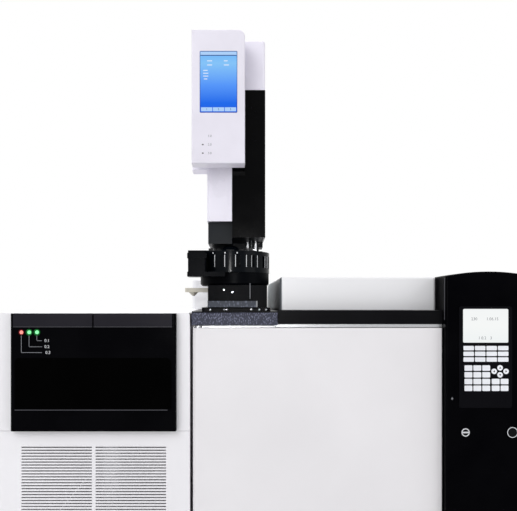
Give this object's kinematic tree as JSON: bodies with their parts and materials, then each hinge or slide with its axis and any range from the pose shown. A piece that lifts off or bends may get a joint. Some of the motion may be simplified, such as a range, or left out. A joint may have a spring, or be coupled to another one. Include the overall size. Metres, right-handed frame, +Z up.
{
  "type": "gas chromatograph",
  "caption": "Bench gas chromatograph with an oven door, a control column, an injector tower over a vial turret and a joined detector cabinet.",
  "frame": {"origin": "on the bench, under the middle of the instrument", "axes": "+Z up, -Y to the front, +X to the right seen from the front"},
  "size_m": [0.831, 0.5692, 0.884],
  "materials": {
    "cabinet_grey": "fine textured paint",
    "cabinet_white": "fine textured paint",
    "deck_black": "satin paint",
    "trim_black": "satin moulding",
    "steel": "brushed",
    "wool": "ceramic wool",
    "motor_black": "satin",
    "heater": "heat stained sheath",
    "capillary": "polyimide coated silica",
    "door_white": "fine textured paint",
    "panel_black": "satin moulding",
    "bezel_black": "fine matt moulding",
    "lcd": "lit display",
    "key_grey": "soft key pads",
    "button_grey": "satin",
    "cover_white": "satin moulding",
    "socket_black": "matt moulding",
    "brass": "machined",
    "rubber": "moulded",
    "bezel_gloss": "gloss moulding",
    "window_black": "polished",
    "lamp_green": "translucent lens",
    "aluminium": "machined",
    "apron_blue": "speckled paint",
    "tower_black": "fine matt moulding",
    "tower_gloss": "gloss moulding",
    "lever_beige": "satin moulding",
    "turret_black": "satin moulding",
    "vial_glass": "clear",
    "cap_black": "moulded",
    "bottle_white": "moulded",
    "tower_white": "satin moulding",
    "carriage": "anodised",
    "display_white": "satin moulding",
    "screen_blue": "lit display"
  },
  "bodies": {
    "frame": {"base_pan": "cabinet_grey", "side_panels": "cabinet_white", "rear_panel": "cabinet_grey", "top_deck": "deck_black", "front_frame": "steel", "deck_trim": "trim_black", "oven_liner": "steel", "oven_insulation": "wool", "fan_baffle": "steel", "fan_motor": "motor_black", "heater_coil": "heater", "column_cage": "steel", "capillary_column": "capillary", "hinge_pins": "steel", "column_housing": "panel_black", "keypad_bezel": "bezel_black", "lcd_panel": "lcd", "keypad": "key_grey", "cover_hinges": "steel", "pneumatics_cover": "cover_white", "inlet": "steel", "flame_detector": "steel", "power_fittings": "socket_black", "gas_fittings": "brass", "feet": "rubber", "cabinet_cover": "cabinet_white", "cabinet_chassis": "cabinet_grey", "grille_panel": "cabinet_white", "cabinet_bezel": "bezel_gloss", "cabinet_window": "window_black", "status_lamps": "lamp_green", "analyser": "aluminium", "transfer_line": "steel", "sampler_apron": "apron_blue", "sampler_plate": "deck_black", "sampler_pedestal": "tower_black", "tower_spine": "tower_black", "side_box": "tower_black", "tower_shell": "tower_white", "guide_rods": "steel", "display_housing": "display_white", "touch_screen": "screen_blue"},
    "oven_door": {"oven_door_panel": "door_white", "oven_door_plug": "steel"},
    "fan": {"oven_fan": "steel"},
    "exhaust": {"exhaust_flap": "steel"},
    "intake": {"intake_flap": "steel"},
    "cover": {"detector_cover": "cover_white"},
    "start": {"start_button": "button_grey"},
    "stop": {"stop_button": "button_grey"},
    "switch": {"power_switch": "socket_black"},
    "lever": {"clamp_lever": "lever_beige"},
    "turret_body": {"turret": "turret_black", "vials": "vial_glass", "vial_caps": "cap_black", "solvent_bottles": "bottle_white"},
    "bay_door": {"syringe_door": "tower_gloss"},
    "carriage_body": {"syringe_carriage": "carriage", "syringe_barrel": "vial_glass"},
    "plunger_body": {"syringe_plunger": "carriage"}
  },
  "joints": [
    {"name": "oven_door_hinge", "type": "hinge", "parent": "frame", "child": "oven_door", "pos_m": [-0.103, -0.261, 0.06], "axis": [0, 0, -1], "range_deg": [0, 100]},
    {"name": "fan_spin", "type": "hinge", "parent": "frame", "child": "fan", "pos_m": [0.0845, -0.07, 0.237], "axis": [0, 1, 0], "continuous": true},
    {"name": "intake_flap_hinge", "type": "hinge", "parent": "frame", "child": "intake", "pos_m": [0.1445, 0.274, 0.162], "axis": [1, 0, 0], "range_deg": [0, 45]},
    {"name": "exhaust_flap_hinge", "type": "hinge", "parent": "frame", "child": "exhaust", "pos_m": [0.1445, 0.274, 0.372], "axis": [1, 0, 0], "range_deg": [0, 45]},
    {"name": "detector_cover_hinge", "type": "hinge", "parent": "frame", "child": "cover", "pos_m": [0.154, 0.168, 0.448], "axis": [-1, 0, 0], "range_deg": [0, 85]},
    {"name": "start_press", "type": "slide", "parent": "frame", "child": "start", "axis": [0, 1, 0], "range_m": [0, 0.0015], "stiffness_N_per_m": 400},
    {"name": "stop_press", "type": "slide", "parent": "frame", "child": "stop", "axis": [0, 1, 0], "range_m": [0, 0.0015], "stiffness_N_per_m": 400},
    {"name": "power_rocker", "type": "hinge", "parent": "frame", "child": "switch", "pos_m": [0.33, 0.266, 0.09], "axis": [1, 0, 0], "range_deg": [0, 16]},
    {"name": "clamp_swing", "type": "hinge", "parent": "frame", "child": "lever", "pos_m": [-0.079, -0.21, 0.472], "axis": [0, 0, -1], "range_deg": [0, 40]},
    {"name": "turret_spin", "type": "hinge", "parent": "frame", "child": "turret_body", "pos_m": [-0.0525, -0.2, 0.5], "axis": [0, 0, 1], "continuous": true},
    {"name": "syringe_door_hinge", "type": "hinge", "parent": "frame", "child": "bay_door", "pos_m": [0.002, -0.117, 0.559], "axis": [0, 0, 1], "range_deg": [0, 90]},
    {"name": "carriage_slide", "type": "slide", "parent": "frame", "child": "carriage_body", "axis": [0, 0, -1], "range_m": [0, 0.028]},
    {"name": "plunger_slide", "type": "slide", "parent": "carriage_body", "child": "plunger_body", "axis": [0, 0, 1], "range_m": [0, 0.04]}
  ],
  "couplings": [
    {"joint": "exhaust_flap_hinge", "follows": "intake_flap_hinge", "ratio": 1}
  ]
}
